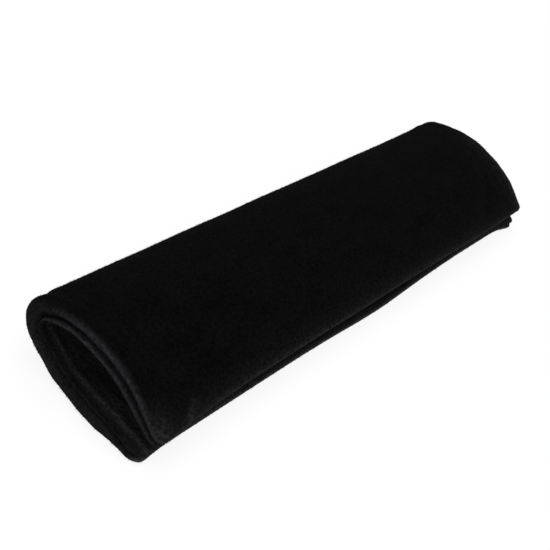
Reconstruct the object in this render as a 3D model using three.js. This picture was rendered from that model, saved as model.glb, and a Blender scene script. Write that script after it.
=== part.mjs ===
// Seat belt shoulder pad. A plush panel with a foam core is folded lengthwise round the belt and
// closed along its front edge by hook and loop tape, which leaves a sleeve of teardrop section.
// Millimetres, +Z up, +X along the belt. The flat lower wall lies at z = 0, the front edge is at -Y.
import * as THREE from 'three';

// The panel as it is sewn flat: two plush faces, turned in at a seam all round, with foam between
const PAD_LENGTH = 240; // from end to end
const WALL = 8.5; // thickness of the padded wall, pile included
const FABRIC = 1.0; // one plush face with its knitted backing
const EDGE_WALL = 4.8; // what the wall is squeezed to at the long seams
const EDGE_EASE = 3.5; // width over which that squeeze fades into the full wall
const CORNER_R = 3.5; // plan radius of the panel's four corners
const SEAM_ROLL = 2.1; // how far each face rolls over on its way to the seam
const SEAM_TUCK = 75; // degrees that the roll carries on past the rim, into the groove of the seam
const SINK_UPPER = 0.7; // at both ends the seam is drawn this far from the middle towards the lining
const SINK_LOWER = 3.4; // and this far along the fold and the lower wall
const SINK_EASE = 16; // it comes back to the middle over this distance from the long edges
const ROLL_STEPS = [50, 10, -30]; // degrees above the rim of the rings in between
const PRESSED = 0.8; // most of a face's rise over the seam that its own fabric may fill
const FOAM_MARGIN = 5; // the foam ends this far inside the rim
const FOAM_ROUND = 1.2; // rounding of the foam's cut edge
const FIT_GAP = 0.3; // left between pieces that lie against each other

// Topstitched hem, one row along each end
const HEM_INSET = 7; // from the end to the stitches
const HEM_DIP = 0.8; // how deep the stitches pull each face in
const HEM_SPREAD = 2.2; // how far that dip reaches to either side

// Closure
const TAPE_WIDTH = 10;
const TAPE_THICK = 1.3; // hook and loop alike
const TAPE_MARGIN = 1.8; // from the rim to the tape
const TAPE_END_MARGIN = 12; // the tapes stop inside the hems
const LAP_OVERHANG = -0.2; // the upper edge reaches past the lower one, or stays short of it if negative
const LAP_OPEN = 4; // degrees that the pressed tapes still gape towards the inside
const SLIP = 5.6; // the edges were pressed together this far out of line lengthwise
const STRETCH = 7; // the lower wall is drawn this much longer than the upper, towards +X

// Section of the folded wall, measured along its middle surface
const FLAT_RUN = 30.5; // lower wall lying flat, from the front edge back
const HEEL_R = 22; // bend that lifts the lower wall towards the fold
const HEEL_ANGLE = 30; // degrees of that bend
const BELLY_RUN = 10; // straight stretch between the heel and the fold
const FOLD_R = 5.7; // bend at the fold
const LAP_EXTRA = 3; // the upper wall stays straight this far past the tape
const RISE_RUN = 15; // gently bent stretch from the lap up to the crown
const RISE_R = 87;

const HALF_WALL = WALL / 2;
const HALF_EDGE = EDGE_WALL / 2;
const RAD = Math.PI / 180;

// Half the wall's thickness at a distance from the long rim. It grows evenly under the tape, so
// that the tapes lie flat, and eases into the full wall behind it.
const tapeEnd = TAPE_MARGIN + TAPE_WIDTH;
const squeeze = (HALF_WALL - HALF_EDGE) / (tapeEnd + EDGE_EASE / 2);
function halfWall(fromRim) {
  if (fromRim <= tapeEnd) return HALF_EDGE + squeeze * fromRim;
  const past = Math.min(fromRim - tapeEnd, EDGE_EASE);
  return HALF_EDGE + squeeze * (tapeEnd + past - past ** 2 / (2 * EDGE_EASE));
}

// Unit vectors in the section, along a heading and square to its left
const ahead = (heading) => new THREE.Vector2(Math.cos(heading), Math.sin(heading));
const outward = (heading) => new THREE.Vector2(-Math.sin(heading), Math.cos(heading));

// The middle line of the section as a chain of tangent lines and arcs, from the upper front edge
// over the crown to the fold and back along the underside to the lower front edge.
function sectionChain() {
  // The lower wall is built back from its front edge at y = 0, with its outer face on z = 0.
  const heel = HEEL_ANGLE * RAD;
  const foldStart = new THREE.Vector2(FLAT_RUN, HALF_WALL + HEEL_R)
    .addScaledVector(outward(heel), -HEEL_R)
    .addScaledVector(ahead(heel), BELLY_RUN);
  const foldCentre = foldStart.clone().addScaledVector(outward(heel), FOLD_R);

  // Across the closure both linings are plane, with the two tapes between them.
  const bevel = Math.atan(2 * squeeze);
  const lapAngle = bevel + Math.atan(squeeze) + LAP_OPEN * RAD;
  const closure = 2 * TAPE_THICK + 3 * FIT_GAP;
  const upperEdge = new THREE.Vector2(0, EDGE_WALL)
    .addScaledVector(outward(bevel), closure)
    .addScaledVector(ahead(bevel), -LAP_OVERHANG)
    .addScaledVector(outward(lapAngle), HALF_EDGE);

  const lapRun = tapeEnd + LAP_EXTRA;
  const riseTurn = RISE_RUN / RISE_R;
  const crownHeading = lapAngle - riseTurn;
  const riseStart = upperEdge.clone().addScaledVector(ahead(lapAngle), lapRun);
  const crownStart = riseStart.clone()
    .addScaledVector(outward(lapAngle), -RISE_R)
    .addScaledVector(outward(crownHeading), RISE_R);

  // The crown is the one arc that leaves the rise and runs into the fold without a kink.
  const away = outward(crownHeading);
  const reach = crownStart.clone().sub(foldCentre);
  const crownR = (FOLD_R ** 2 - reach.lengthSq()) / (2 * (FOLD_R - reach.dot(away)));
  const crownCentre = crownStart.clone().addScaledVector(away, -crownR);
  const meeting = foldCentre.clone().sub(crownCentre).normalize();
  const foldHeading = Math.atan2(-meeting.x, meeting.y);

  const crownTurn = crownHeading - foldHeading;
  const foldTurn = foldHeading + Math.PI - heel;
  const spans = [
    { run: lapRun, turn: 0, steps: 1 },
    { run: RISE_RUN, turn: -riseTurn, steps: 4 },
    { run: crownR * crownTurn, turn: -crownTurn, steps: 5 },
    { run: FOLD_R * foldTurn, turn: -foldTurn, steps: 11 },
    { run: BELLY_RUN, turn: 0, steps: 1 },
    { run: HEEL_R * heel, turn: -heel, steps: 5 },
    { run: FLAT_RUN, turn: 0, steps: 1 },
  ];
  const chain = [];
  let from = 0;
  let heading = lapAngle;
  let point = upperEdge;
  for (const { run, turn, steps } of spans) {
    chain.push({ from, run, turn, steps, heading, point });
    point = alongSpan(chain[chain.length - 1], run);
    heading += turn;
    from += run;
  }
  return chain;
}

// Point at a distance along one line or arc of the chain
function alongSpan({ point, heading, run, turn }, distance) {
  const half = (turn * distance) / run / 2;
  const chord = half === 0 ? distance : (distance * Math.sin(half)) / half;
  return point.clone().addScaledVector(ahead(heading + half), chord);
}

const chain = sectionChain();
const lastSpan = chain[chain.length - 1];
const GIRTH = lastSpan.from + lastSpan.run; // width of the panel as it is sewn flat

// Middle surface, outward direction and share of the way to the lower edge, round the girth
function wallAt(girth) {
  const span = chain.findLast((candidate) => candidate.from <= girth) ?? chain[0];
  const heading = span.heading + (span.turn * (girth - span.from)) / span.run;
  const share = THREE.MathUtils.smoothstep(girth, 0, GIRTH);
  return { middle: alongSpan(span, girth - span.from), heading, share };
}

// From panel coordinates (along the belt, round the girth, out from the middle surface) to space
function fold(along, girth, out) {
  const { middle, heading, share } = wallAt(girth);
  const point = middle.addScaledVector(outward(heading), out);
  const stretch = STRETCH * share * (along / PAD_LENGTH + 0.5);
  return [along + SLIP * (0.5 - share) + stretch, point.x, point.y];
}

// The two faces at a place on the panel. The lower front edge is squeezed from inside only,
// because its outer face lies on the flat; every other edge is squeezed from both sides.
function facesAt(along, girth) {
  const lower = girth > GIRTH / 2;
  const half = halfWall(lower ? GIRTH - girth : girth);
  const seam = lower ? HALF_WALL - half : 0;
  const fromStitch = Math.abs(PAD_LENGTH / 2 - Math.abs(along) - HEM_INSET);
  const nearness = Math.cos((Math.PI * Math.min(fromStitch, HEM_SPREAD)) / HEM_SPREAD);
  return { seam, half: half - (HEM_DIP * (1 + nearness)) / 2 };
}

// Grid over the panel with rounded corners, set in from its rim. Vertices on the outline also
// carry the direction straight out over the rim.
function panelGrid(inset, alongSteps, girthSteps) {
  const corner = CORNER_R - Math.min(inset, SEAM_ROLL);
  const lines = (limit, steps) => {
    const near = [0, corner / 2, corner].map((d) => inset + d);
    const clear = inset + corner + SHORTEST_STEP;
    const middle = steps.filter((d) => d > clear && d < limit - clear);
    return [...near, ...middle, ...near.map((d) => limit - d).reverse()];
  };
  const rows = lines(PAD_LENGTH, alongSteps);
  const columns = lines(GIRTH, girthSteps);
  const last = { row: rows.length - 1, column: columns.length - 1 };
  const towards = (value, limit) => {
    const near = inset + corner;
    if (value < near) return (value - near) / corner;
    return value > limit - near ? (value - limit + near) / corner : 0;
  };
  return rows.map((row, i) => columns.map((column, j) => {
    const x = towards(row, PAD_LENGTH);
    const y = towards(column, GIRTH);
    const round = new THREE.Vector2(x * Math.sqrt(1 - y ** 2 / 2), y * Math.sqrt(1 - x ** 2 / 2));
    const rim = i === 0 || j === 0 || i === last.row || j === last.column;
    const straight = new THREE.Vector2(Math.sign(x), Math.sign(y));
    return {
      along: row - PAD_LENGTH / 2 + (round.x - x) * corner,
      girth: column + (round.y - y) * corner,
      outward: rim ? (x !== 0 && y !== 0 ? round.clone().normalize() : straight) : null,
    };
  }));
}

// The outline of a grid, once round
function outlineOf(grid) {
  const first = [...grid[0]].reverse();
  const last = grid[grid.length - 1];
  const nearSide = grid.map((row) => row[0]);
  const farSide = grid.map((row) => row[row.length - 1]).reverse();
  return [nearSide, last, farSide, first].flatMap((side) => side.slice(0, -1));
}

function surface(positions, index) {
  const geometry = new THREE.BufferGeometry();
  geometry.setAttribute('position', new THREE.Float32BufferAttribute(positions, 3));
  geometry.setIndex(index);
  geometry.computeVertexNormals();
  return geometry;
}

// A soft layer is a top face, rings that carry its rim round to the underside, and a bottom face.
// top and bottom give a height for a grid vertex; each ring gives a reach over the rim and a height.
function softLayer(grid, top, rings, bottom) {
  const positions = [];
  const index = [];
  const columns = grid[0].length;
  const outline = outlineOf(grid);
  const order = new Map(grid.flat().map((vertex, k) => [vertex, k]));
  const addFace = (height) => {
    for (const v of grid.flat()) positions.push(...fold(v.along, v.girth, height(v)));
  };
  addFace(top);
  addFace(bottom);
  const faceSize = grid.length * columns;
  for (let i = 0; i + 1 < grid.length; i++) {
    for (let j = 0; j + 1 < columns; j++) {
      const a = i * columns + j;
      const quad = [a, a + columns, a + columns + 1, a + 1];
      index.push(quad[0], quad[1], quad[2], quad[0], quad[2], quad[3]);
      const under = quad.map((k) => k + faceSize);
      index.push(under[0], under[2], under[1], under[0], under[3], under[2]);
    }
  }
  let above = outline.map((v) => order.get(v));
  const joinRings = (below) => {
    for (let k = 0; k < outline.length; k++) {
      const next = (k + 1) % outline.length;
      index.push(below[k], below[next], above[next], below[k], above[next], above[k]);
    }
    above = below;
  };
  for (const ring of rings) {
    const start = positions.length / 3;
    for (const v of outline) {
      const { reach, height } = ring(v);
      positions.push(...fold(v.along + v.outward.x * reach, v.girth + v.outward.y * reach, height));
    }
    joinRings(outline.map((_, k) => start + k));
  }
  joinRings(outline.map((v) => order.get(v) + faceSize));
  return surface(positions, index);
}

// Where the panel is divided: closer along the hems, the squeezed edges and the fold
const SHORTEST_STEP = 0.4;
const hemSteps = [-1, -0.5, 0, 0.5, 1].map((share) => HEM_INSET + share * HEM_SPREAD);
const nearRows = [...hemSteps, PAD_LENGTH / 8, PAD_LENGTH / 3];
const alongSteps = [...nearRows, PAD_LENGTH / 2, ...nearRows.map((d) => PAD_LENGTH - d).reverse()];
const edgeSteps = [tapeEnd, tapeEnd + EDGE_EASE / 2];
const chainSteps = chain.flatMap(({ from, run, steps }) => {
  return Array.from({ length: steps }, (_, k) => from + (run * k) / steps);
});
const girthSteps = [...edgeSteps, ...chainSteps, ...edgeSteps.map((d) => GIRTH - d)]
  .sort((a, b) => a - b)
  .filter((d, k, all) => k === 0 || d - all[k - 1] > SHORTEST_STEP);

// How far the seam lies from the middle of the wall, at a vertex of the outline
function seamSink({ girth, outward: { x } }) {
  const { lerp, smoothstep } = THREE.MathUtils;
  const sink = lerp(SINK_UPPER, SINK_LOWER, smoothstep(girth, GIRTH / 4, GIRTH / 2));
  return sink * x ** 2 * smoothstep(Math.min(girth, GIRTH - girth), 0, SINK_EASE);
}

// A plush face on the outer (side 1) or inner (side -1) half of the wall. It rolls over the rim
// and tucks into the seam, and its raw backing follows inside at the fabric's thickness.
function plushFace(side) {
  const grid = panelGrid(SEAM_ROLL, alongSteps, girthSteps);
  const tuck = SEAM_TUCK * RAD;
  const skin = ({ along, girth }) => {
    const { seam, half } = facesAt(along, girth);
    return seam + side * half;
  };
  const riseOf = (v) => {
    return (facesAt(v.along, v.girth).half + side * seamSink(v) - FIT_GAP / 2) / (1 + Math.sin(tuck));
  };
  const backing = (v) => (v.outward ? Math.min(FABRIC, PRESSED * riseOf(v)) : FABRIC);
  const back = (v) => skin(v) - side * backing(v);
  const roll = (angle, inner) => (v) => {
    const { seam, half } = facesAt(v.along, v.girth);
    const fabric = inner ? backing(v) : 0;
    const rise = riseOf(v);
    const height = half - rise + (rise - fabric) * Math.sin(angle);
    return { reach: (SEAM_ROLL - fabric) * Math.cos(angle), height: seam + side * height };
  };
  const angles = [...ROLL_STEPS.map((degrees) => degrees * RAD), -tuck];
  const over = angles.map((angle) => roll(angle, false));
  const under = [-tuck, angles[1]].map((angle) => roll(angle, true));
  if (side > 0) return softLayer(grid, skin, [...over, ...under], back);
  return softLayer(grid, back, [...over, ...under].reverse(), skin);
}

function foamCore() {
  const grid = panelGrid(FOAM_MARGIN + FOAM_ROUND, alongSteps, girthSteps);
  const face = (side) => ({ along, girth }) => {
    const { seam, half } = facesAt(along, girth);
    return seam + side * (half - FABRIC - FIT_GAP);
  };
  const cutEdge = (v) => ({ reach: FOAM_ROUND, height: facesAt(v.along, v.girth).seam });
  return softLayer(grid, face(1), [cutEdge], face(-1));
}

// A tape sewn to the lining along one front edge, lying flat in the closure
function closureTape(lower) {
  const half = PAD_LENGTH / 2 - TAPE_END_MARGIN;
  const [near, far] = lower ? [GIRTH - tapeEnd, GIRTH - TAPE_MARGIN] : [TAPE_MARGIN, tapeEnd];
  const corners = [[-half, near], [half, near], [half, far], [-half, far]];
  const face = (away) => corners.flatMap(([along, girth]) => {
    const faces = facesAt(along, girth);
    return fold(along, girth, faces.seam - faces.half - away);
  });
  const sides = corners.flatMap((_, k) => {
    const next = (k + 1) % corners.length;
    return [k + 4, next + 4, next, k + 4, next, k];
  });
  const index = [0, 1, 2, 0, 2, 3, 4, 6, 5, 4, 7, 6, ...sides];
  return surface([...face(FIT_GAP), ...face(FIT_GAP + TAPE_THICK)], index);
}

function piece(name, geometry, color, roughness) {
  const mesh = new THREE.Mesh(geometry, new THREE.MeshStandardMaterial({ color, roughness, metalness: 0 }));
  mesh.name = name;
  return mesh;
}

const group = new THREE.Group();
group.add(piece('outer_cover', plushFace(1), 0x0f0f10, 0.95));
group.add(piece('inner_lining', plushFace(-1), 0x0f0f10, 0.95));
group.add(piece('foam_core', foamCore(), 0xb9b6a8, 0.9));
group.add(piece('hook_tape', closureTape(false), 0x121214, 0.7));
group.add(piece('loop_tape', closureTape(true), 0x121214, 0.9));

// The origin lies under the middle of the closed sleeve.
const middle = new THREE.Box3().setFromObject(group).getCenter(new THREE.Vector3());
group.position.set(-middle.x, -middle.y, 0);

export default group;
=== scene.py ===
import math

import bpy
import numpy as np
from mathutils import Matrix, Vector, noise


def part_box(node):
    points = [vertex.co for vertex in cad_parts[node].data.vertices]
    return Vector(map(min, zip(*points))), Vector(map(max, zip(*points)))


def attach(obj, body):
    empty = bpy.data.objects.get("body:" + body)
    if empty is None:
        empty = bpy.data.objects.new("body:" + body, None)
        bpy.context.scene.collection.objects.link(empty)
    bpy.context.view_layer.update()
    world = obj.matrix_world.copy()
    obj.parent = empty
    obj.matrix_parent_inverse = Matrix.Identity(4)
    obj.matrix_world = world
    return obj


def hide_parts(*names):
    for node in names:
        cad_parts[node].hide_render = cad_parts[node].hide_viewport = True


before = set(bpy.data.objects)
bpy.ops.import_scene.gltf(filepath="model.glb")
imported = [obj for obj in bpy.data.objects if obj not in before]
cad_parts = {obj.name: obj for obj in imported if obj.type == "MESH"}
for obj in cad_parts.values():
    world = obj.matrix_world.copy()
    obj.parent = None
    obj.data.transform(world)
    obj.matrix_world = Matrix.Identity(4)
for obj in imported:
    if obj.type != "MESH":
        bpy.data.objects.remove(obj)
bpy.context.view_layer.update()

bl_info = {
    "name": "Seat Belt Shoulder Pad",
    "version": (1, 0, 0),
    "blender": (4, 5, 0),
    "location": "3D View > Sidebar > Shoulder Pad",
    "description": "Makes a folded plush shoulder pad for a seat belt, and its stage",
    "category": "Add Mesh",
}

# The imported model's box, from which the pad's place on the floor comes
COVER_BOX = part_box("outer_cover")

MM = 0.001


def length(name, description, millimetres):
    return bpy.props.FloatProperty(
        name=name, description=description, default=millimetres * MM,
        precision=5, subtype="DISTANCE", unit="LENGTH",
    )


def angle(name, description, degrees):
    return bpy.props.FloatProperty(
        name=name, description=description, default=math.radians(degrees),
        subtype="ANGLE", unit="ROTATION",
    )


class PadSizes(bpy.types.PropertyGroup):
    """The panel as it is sewn flat"""

    pad_length: length("Length", "Panel from end to end", 240)
    wall: length("Wall", "Thickness of the padded wall", 8.5)
    fabric: length("Fabric", "One plush face with its knitted backing", 1.0)
    edge_wall: length("Edge wall", "What the wall is squeezed to at the long seams", 4.8)
    edge_ease: length("Edge ease", "Width over which that squeeze fades out", 3.5)
    corner: length("Corner radius", "Plan radius of the panel's four corners", 3.5)
    seam_roll: length("Seam roll", "How far each face rolls over on its way to the seam", 2.1)
    seam_tuck: angle("Seam tuck", "How far the roll carries on past the rim into the seam", 75)
    sink_upper: length("Sink, upper wall", "At the ends the seam is drawn towards the lining", 0.7)
    sink_lower: length("Sink, lower wall", "The same along the fold and the lower wall", 3.4)
    sink_ease: length("Sink ease", "The seam comes back to the middle this near the long edges", 16)
    seam_gap: length("Seam gap", "Left between the two faces at the seam", 0.04)
    foam_margin: length("Foam margin", "The foam ends this far inside the rim", 5)
    hem_inset: length("Hem inset", "From the end to the row of topstitching", 7)
    hem_dip: length("Hem dip", "How deep the stitches pull each face in", 0.8)
    hem_spread: length("Hem spread", "How far that dip reaches to either side", 2.2)
    stitch: length("Stitch", "Length of one stitch of the hem", 3.2)
    thread: length("Thread", "Diameter of the sewing thread", 0.4)
    pile: length("Pile", "How far the plush fibres stand up", 0.7)


class FoldSizes(bpy.types.PropertyGroup):
    """The section that the panel takes round the belt, along its middle surface"""

    tape_width: length("Tape width", "Hook and loop tape alike", 10)
    tape_thick: length("Tape thickness", "One tape, with its hooks or loops pressed in", 1.3)
    tape_margin: length("Tape margin", "From the rim to the tape", 1.8)
    tape_end_margin: length("Tape end margin", "The tapes stop inside the hems", 12)
    fit_gap: length("Fit gap", "Left between pieces that lie against each other", 0.3)
    lap_overhang: length("Lap overhang", "The upper edge reaches this far past the lower one", -0.2)
    lap_open: angle("Lap opening", "How far the pressed tapes still gape", 4)
    slip: length("Slip", "The edges were pressed together this far out of line lengthwise", 5.6)
    stretch: length("Stretch", "The lower wall is drawn this much longer, towards +X", 7)
    flat_run: length("Flat run", "Lower wall lying flat, from the front edge back", 30.5)
    heel_radius: length("Heel radius", "Bend that lifts the lower wall towards the fold", 22)
    heel_angle: angle("Heel angle", "How far the heel bends", 30)
    belly_run: length("Belly run", "Straight stretch between the heel and the fold", 10)
    fold_radius: length("Fold radius", "Bend at the fold", 5.7)
    lap_extra: length("Lap extra", "The upper wall stays straight this far past the tape", 3)
    rise_run: length("Rise run", "Gently bent stretch from the lap up to the crown", 15)
    rise_radius: length("Rise radius", "Bend of that stretch", 87)


def colour(name, description, value):
    return bpy.props.StringProperty(name=name, description=description, default=value)


class PadFinish(bpy.types.PropertyGroup):
    """Colours of the cloth, the foam, the tape and the stage, as sRGB hex values"""

    pile_root: colour("Pile root", "Black plush seen down into its pile", "#040404")
    pile_tip: colour("Pile tip", "Black plush where the pile is stroked over", "#0c0c0c")
    # Painted highlight on the lips of the seams, where the pile parts and catches the light
    pile_crest_highlight: colour("Pile crest", "Black plush where its fibres part at a seam", "#2d2d30")
    # Painted highlight standing for the plush's sheen over the front edges and ends
    pile_sheen_highlight: colour("Brushed pile", "Black plush worn smooth over a front edge", "#2f2f2f")
    lining_root: colour("Lining root", "Lining plush seen down into its pile", "#070707")
    lining_tip: colour("Lining tip", "Lining plush where the pile is stroked over", "#131313")
    thread: colour("Thread", "Black polyester sewing thread", "#0a0a0b")
    sheen: colour("Sheen", "Faint light on the plush where it bends away", "#d2d0d8")
    foam: colour("Foam", "Open-cell polyurethane foam", "#b9b6a8")
    # Painted shade down in the foam's cells
    foam_cell_shade: colour("Foam cells", "The same foam down in its cells", "#8f8c80")
    tape: colour("Tape", "Black nylon hook and loop tape", "#141416")
    floor: colour("Floor", "Matt pale floor", "#f4f4f4")


class PadStage(bpy.types.PropertyGroup):
    """Where the camera stands"""

    azimuth: angle("Azimuth", "Camera's bearing from the -X axis towards -Y", 26.163)
    elevation: angle("Elevation", "Camera's height over the horizon", 36.294)
    roll: angle("Roll", "Camera's turn about its own line of sight", 22.006)
    distance: length("Distance", "From the camera to the point it turns round", 412.46)
    focal: bpy.props.FloatProperty(
        name="Focal length", description="For a 36 mm wide sensor", default=70.0,
    )
    aim_right: length("Aim right", "The camera points this far beside that point", -13.11)
    aim_up: length("Aim up", "The camera points this far above that point", -8.16)
    aim_height: length("Aim height", "Height of the point that the camera turns round", 10)
    floor_size: length("Floor size", "Side of the square floor", 6000)


# The section

def ahead(heading):
    return np.stack([np.cos(heading), np.sin(heading)], axis=-1)


def outward(heading):
    return np.stack([-np.sin(heading), np.cos(heading)], axis=-1)


def eased(share):
    """0 to 1 with a soft start and end"""
    share = np.clip(share, 0, 1)
    return share * share * (3 - 2 * share)


# How the soft panel gives way: where along the belt (-1 and 1 are the ends), how far that reaches
# in mm, where round the girth (0 is the upper front edge, 1 the lower one), how far that reaches
# in mm, and the push along x, y and z in mm
EASINGS = (
    (-1.0, 10, 0.0, 12, (-2.2, 0, -1.9)),  # the upper front corner droops over the near opening
    (-1.0, 22, 0.0, 12, (0, -1.7, 0)),
    (-0.42, 30, 0.0, 10, (0, 0.3, 0)),
    (0.7, 30, 0.0, 10, (0, -0.75, 0)),
    (-1.0, 16, 0.54, 14, (-1.2, 0, 0)),  # the near end of the fold and of the lower wall stand out
    (-1.0, 16, 0.85, 13, (-1.6, 0, 0)),
    (-1.0, 12, 0.44, 10, (0, 0.4, 0)),
    (-1.0, 8, 1.0, 8, (0, -1.0, 0)),  # the lower front edge is wavy
    (0.07, 28, 1.0, 10, (0, -1.25, 0)),
    (0.6, 18, 1.0, 10, (0, 0.2, 0)),
    (1.0, 9, 1.0, 8, (-0.4, -2.7, 0)),  # its far corner sticks out as a small tip
    (1.0, 22, 0.47, 20, (-3.2, 0, 0)),  # the far end of the fold stays back and flares a little
    (1.0, 14, 0.49, 8, (0, 1.2, 0)),
    (1.0, 22, 0.17, 13, (1.6, 0, 0)),  # the far end of the upper wall bows out
)


class Section:
    """The folded wall's middle line: tangent lines and arcs from the upper front edge over the
    crown to the fold and back along the underside to the lower front edge."""

    def __init__(self, sizes, folds):
        self.sizes, self.folds = sizes, folds
        self.tape_end = folds.tape_margin + folds.tape_width
        self.squeeze = (sizes.wall - sizes.edge_wall) / 2 / (self.tape_end + sizes.edge_ease / 2)

        heel = folds.heel_angle
        fold_start = np.array([folds.flat_run, sizes.wall / 2 + folds.heel_radius])
        fold_start = fold_start - outward(heel) * folds.heel_radius + ahead(heel) * folds.belly_run
        fold_centre = fold_start + outward(heel) * folds.fold_radius

        bevel = math.atan(2 * self.squeeze)
        lap = bevel + math.atan(self.squeeze) + folds.lap_open
        closure = 2 * folds.tape_thick + 3 * folds.fit_gap
        upper_edge = np.array([0, sizes.edge_wall]) + outward(bevel) * closure
        upper_edge = upper_edge - ahead(bevel) * folds.lap_overhang
        upper_edge = upper_edge + outward(lap) * sizes.edge_wall / 2

        lap_run = self.tape_end + folds.lap_extra
        rise_turn = folds.rise_run / folds.rise_radius
        crown = lap - rise_turn
        rise = (outward(crown) - outward(lap)) * folds.rise_radius
        crown_start = upper_edge + ahead(lap) * lap_run + rise

        # The crown is the one arc that leaves the rise and runs into the fold without a kink.
        reach = crown_start - fold_centre
        away = outward(crown)
        crown_radius = folds.fold_radius ** 2 - reach @ reach
        crown_radius /= 2 * (folds.fold_radius - reach @ away)
        crown_centre = crown_start - away * crown_radius
        meeting = (fold_centre - crown_centre) / np.linalg.norm(fold_centre - crown_centre)
        fold_heading = math.atan2(-meeting[0], meeting[1])
        crown_turn = crown - fold_heading
        fold_turn = fold_heading + math.pi - heel

        self.run = np.array([
            lap_run, folds.rise_run, crown_radius * crown_turn, folds.fold_radius * fold_turn,
            folds.belly_run, folds.heel_radius * heel, folds.flat_run,
        ])
        self.turn = -np.array([0, rise_turn, crown_turn, fold_turn, 0, heel, 0])
        self.start = np.concatenate([[0], np.cumsum(self.run)[:-1]])
        self.heading = lap + np.concatenate([[0], np.cumsum(self.turn)[:-1]])
        self.point = np.zeros((len(self.run), 2))
        self.point[0] = upper_edge
        self.girth = float(self.run.sum())
        for k in range(1, len(self.run)):
            self.point[k] = self.middle(self.start[k] * np.ones(1), k - 1)[0]

        # The fold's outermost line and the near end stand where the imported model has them.
        self.along_shift = COVER_BOX[0].x + (sizes.pad_length + folds.slip) / 2
        self.shift = 0.0
        across = np.linspace(self.girth * 0.3, self.girth * 0.7, 400) - self.girth / 2
        outside = self.fold(np.stack([across * 0, across, across * 0 + sizes.wall / 2], 1))
        self.shift = COVER_BOX[1].y - outside[:, 1].max()

    def middle(self, girth, span):
        distance = girth - self.start[span]
        half_turn = self.turn[span] * distance / self.run[span] / 2
        chord = distance * np.sinc(half_turn / math.pi)
        return self.point[span] + chord[:, None] * ahead(self.heading[span] + half_turn)

    def fold(self, flat):
        """Flat panel coordinates (along the belt, round the girth, out) to their folded place."""
        girth = flat[:, 1] + self.girth / 2
        span = np.clip(np.searchsorted(self.start, girth, side="right") - 1, 0, len(self.run) - 1)
        heading = self.heading[span] + self.turn[span] * (girth - self.start[span]) / self.run[span]
        point = self.middle(girth, span) + outward(heading) * flat[:, 2:3]
        share = eased(girth / self.girth)
        stretch = self.folds.stretch * share * (flat[:, 0] / self.sizes.pad_length + 0.5)
        along = flat[:, 0] + self.folds.slip * (0.5 - share) + stretch + self.along_shift
        return np.column_stack([along, point[:, 0] + self.shift, point[:, 1]])

    def relax(self, flat, folded):
        """Soft edges and corners don't lie quite straight: each easing draws them a little out."""
        moved = folded.copy()
        girth = flat[:, 1] + self.girth / 2
        for along, reach_along, share, reach_round, push in EASINGS:
            from_spot = flat[:, 0] - along * self.sizes.pad_length / 2
            round_spot = girth - share * self.girth
            near = np.exp(-(from_spot / (reach_along * MM)) ** 2
                          - (round_spot / (reach_round * MM)) ** 2)
            moved += near[:, None] * np.array(push) * MM
        moved[:, 2] = np.maximum(moved[:, 2], 0)  # the floor bears it
        return moved

    def half_wall(self, from_rim):
        """Half the wall's thickness, squeezed evenly under the tape and easing out behind it."""
        ease = self.sizes.edge_ease
        past = np.clip(from_rim - self.tape_end, 0, ease)
        grown = np.minimum(from_rim, self.tape_end) + past - past ** 2 / (2 * ease)
        return self.sizes.edge_wall / 2 + self.squeeze * grown

    def faces(self, flat):
        """Height of the seam plane and half the wall at flat panel coordinates."""
        girth = flat[:, 1] + self.girth / 2
        lower = girth > self.girth / 2
        half = self.half_wall(np.clip(np.where(lower, self.girth - girth, girth), 0, None))
        seam = np.where(lower, self.sizes.wall / 2 - half, 0)
        return seam, half

    def past_fold(self, flat, early=0.14):
        """0 on the upper wall, 1 from the fold on. It starts to rise this share of the girth before
        the fold's middle."""
        return eased((flat[:, 1] / self.girth + early) * 5.5)

    def hem_distance(self, flat):
        return np.abs(self.sizes.pad_length / 2 - np.abs(flat[:, 0]) - self.sizes.hem_inset)


# Working with meshes

def deselect_all():
    bpy.ops.object.select_all(action="DESELECT")


def activate(piece):
    deselect_all()
    piece.select_set(True)
    bpy.context.view_layer.objects.active = piece


def coordinates(piece):
    values = np.empty(len(piece.data.vertices) * 3)
    piece.data.vertices.foreach_get("co", values)
    return values.reshape(-1, 3)


def place(piece, positions):
    piece.data.vertices.foreach_set("co", np.asarray(positions, dtype=float).ravel())
    piece.data.update()


def write_attribute(piece, name, values):
    attribute = piece.data.attributes.get(name)
    if attribute is None:
        attribute = piece.data.attributes.new(name, "FLOAT", "POINT")
    attribute.data.foreach_set("value", np.asarray(values, dtype=np.float32))


def read_attribute(piece, name):
    attribute = piece.data.attributes[name]
    values = np.empty(len(attribute.data), dtype=np.float32)
    attribute.data.foreach_get("value", values)
    return values.astype(float)


def write_panel_uv(piece, flat):
    """The cloth's own map, in metres along the panel and round its girth."""
    layer = piece.data.uv_layers.get("panel") or piece.data.uv_layers.new(name="panel")
    corners = np.empty(len(piece.data.loops), dtype=int)
    piece.data.loops.foreach_get("vertex_index", corners)
    layer.data.foreach_set("uv", flat[corners, :2].astype(np.float32).ravel())


def apply_modifier(piece, kind, **settings):
    activate(piece)
    modifier = piece.modifiers.new(kind.title(), kind)
    for name, value in settings.items():
        setattr(modifier, name, value)
    bpy.ops.object.modifier_apply(modifier=modifier.name)


def edit(piece, *steps):
    """Runs operators on a piece in edit mode. Each step is (operator, settings)."""
    activate(piece)
    bpy.ops.object.mode_set(mode="EDIT")
    for operator, settings in steps:
        operator(**settings)
    bpy.ops.object.mode_set(mode="OBJECT")


def sort_faces(piece):
    """The edit operators leave edges and faces in another order on each run, and the simulation's
    rounding follows that order. Here they get a fixed one."""
    faces = []
    for polygon in piece.data.polygons:
        corners = list(polygon.vertices)
        first = corners.index(min(corners))
        faces.append(corners[first:] + corners[:first])
    kept = {name: read_attribute(piece, name) for name in ("ring", "side")}
    mesh = bpy.data.meshes.new(piece.name)
    mesh.from_pydata(coordinates(piece).tolist(), [], sorted(faces))
    piece.data = mesh
    for name, values in kept.items():
        write_attribute(piece, name, values)


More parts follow.
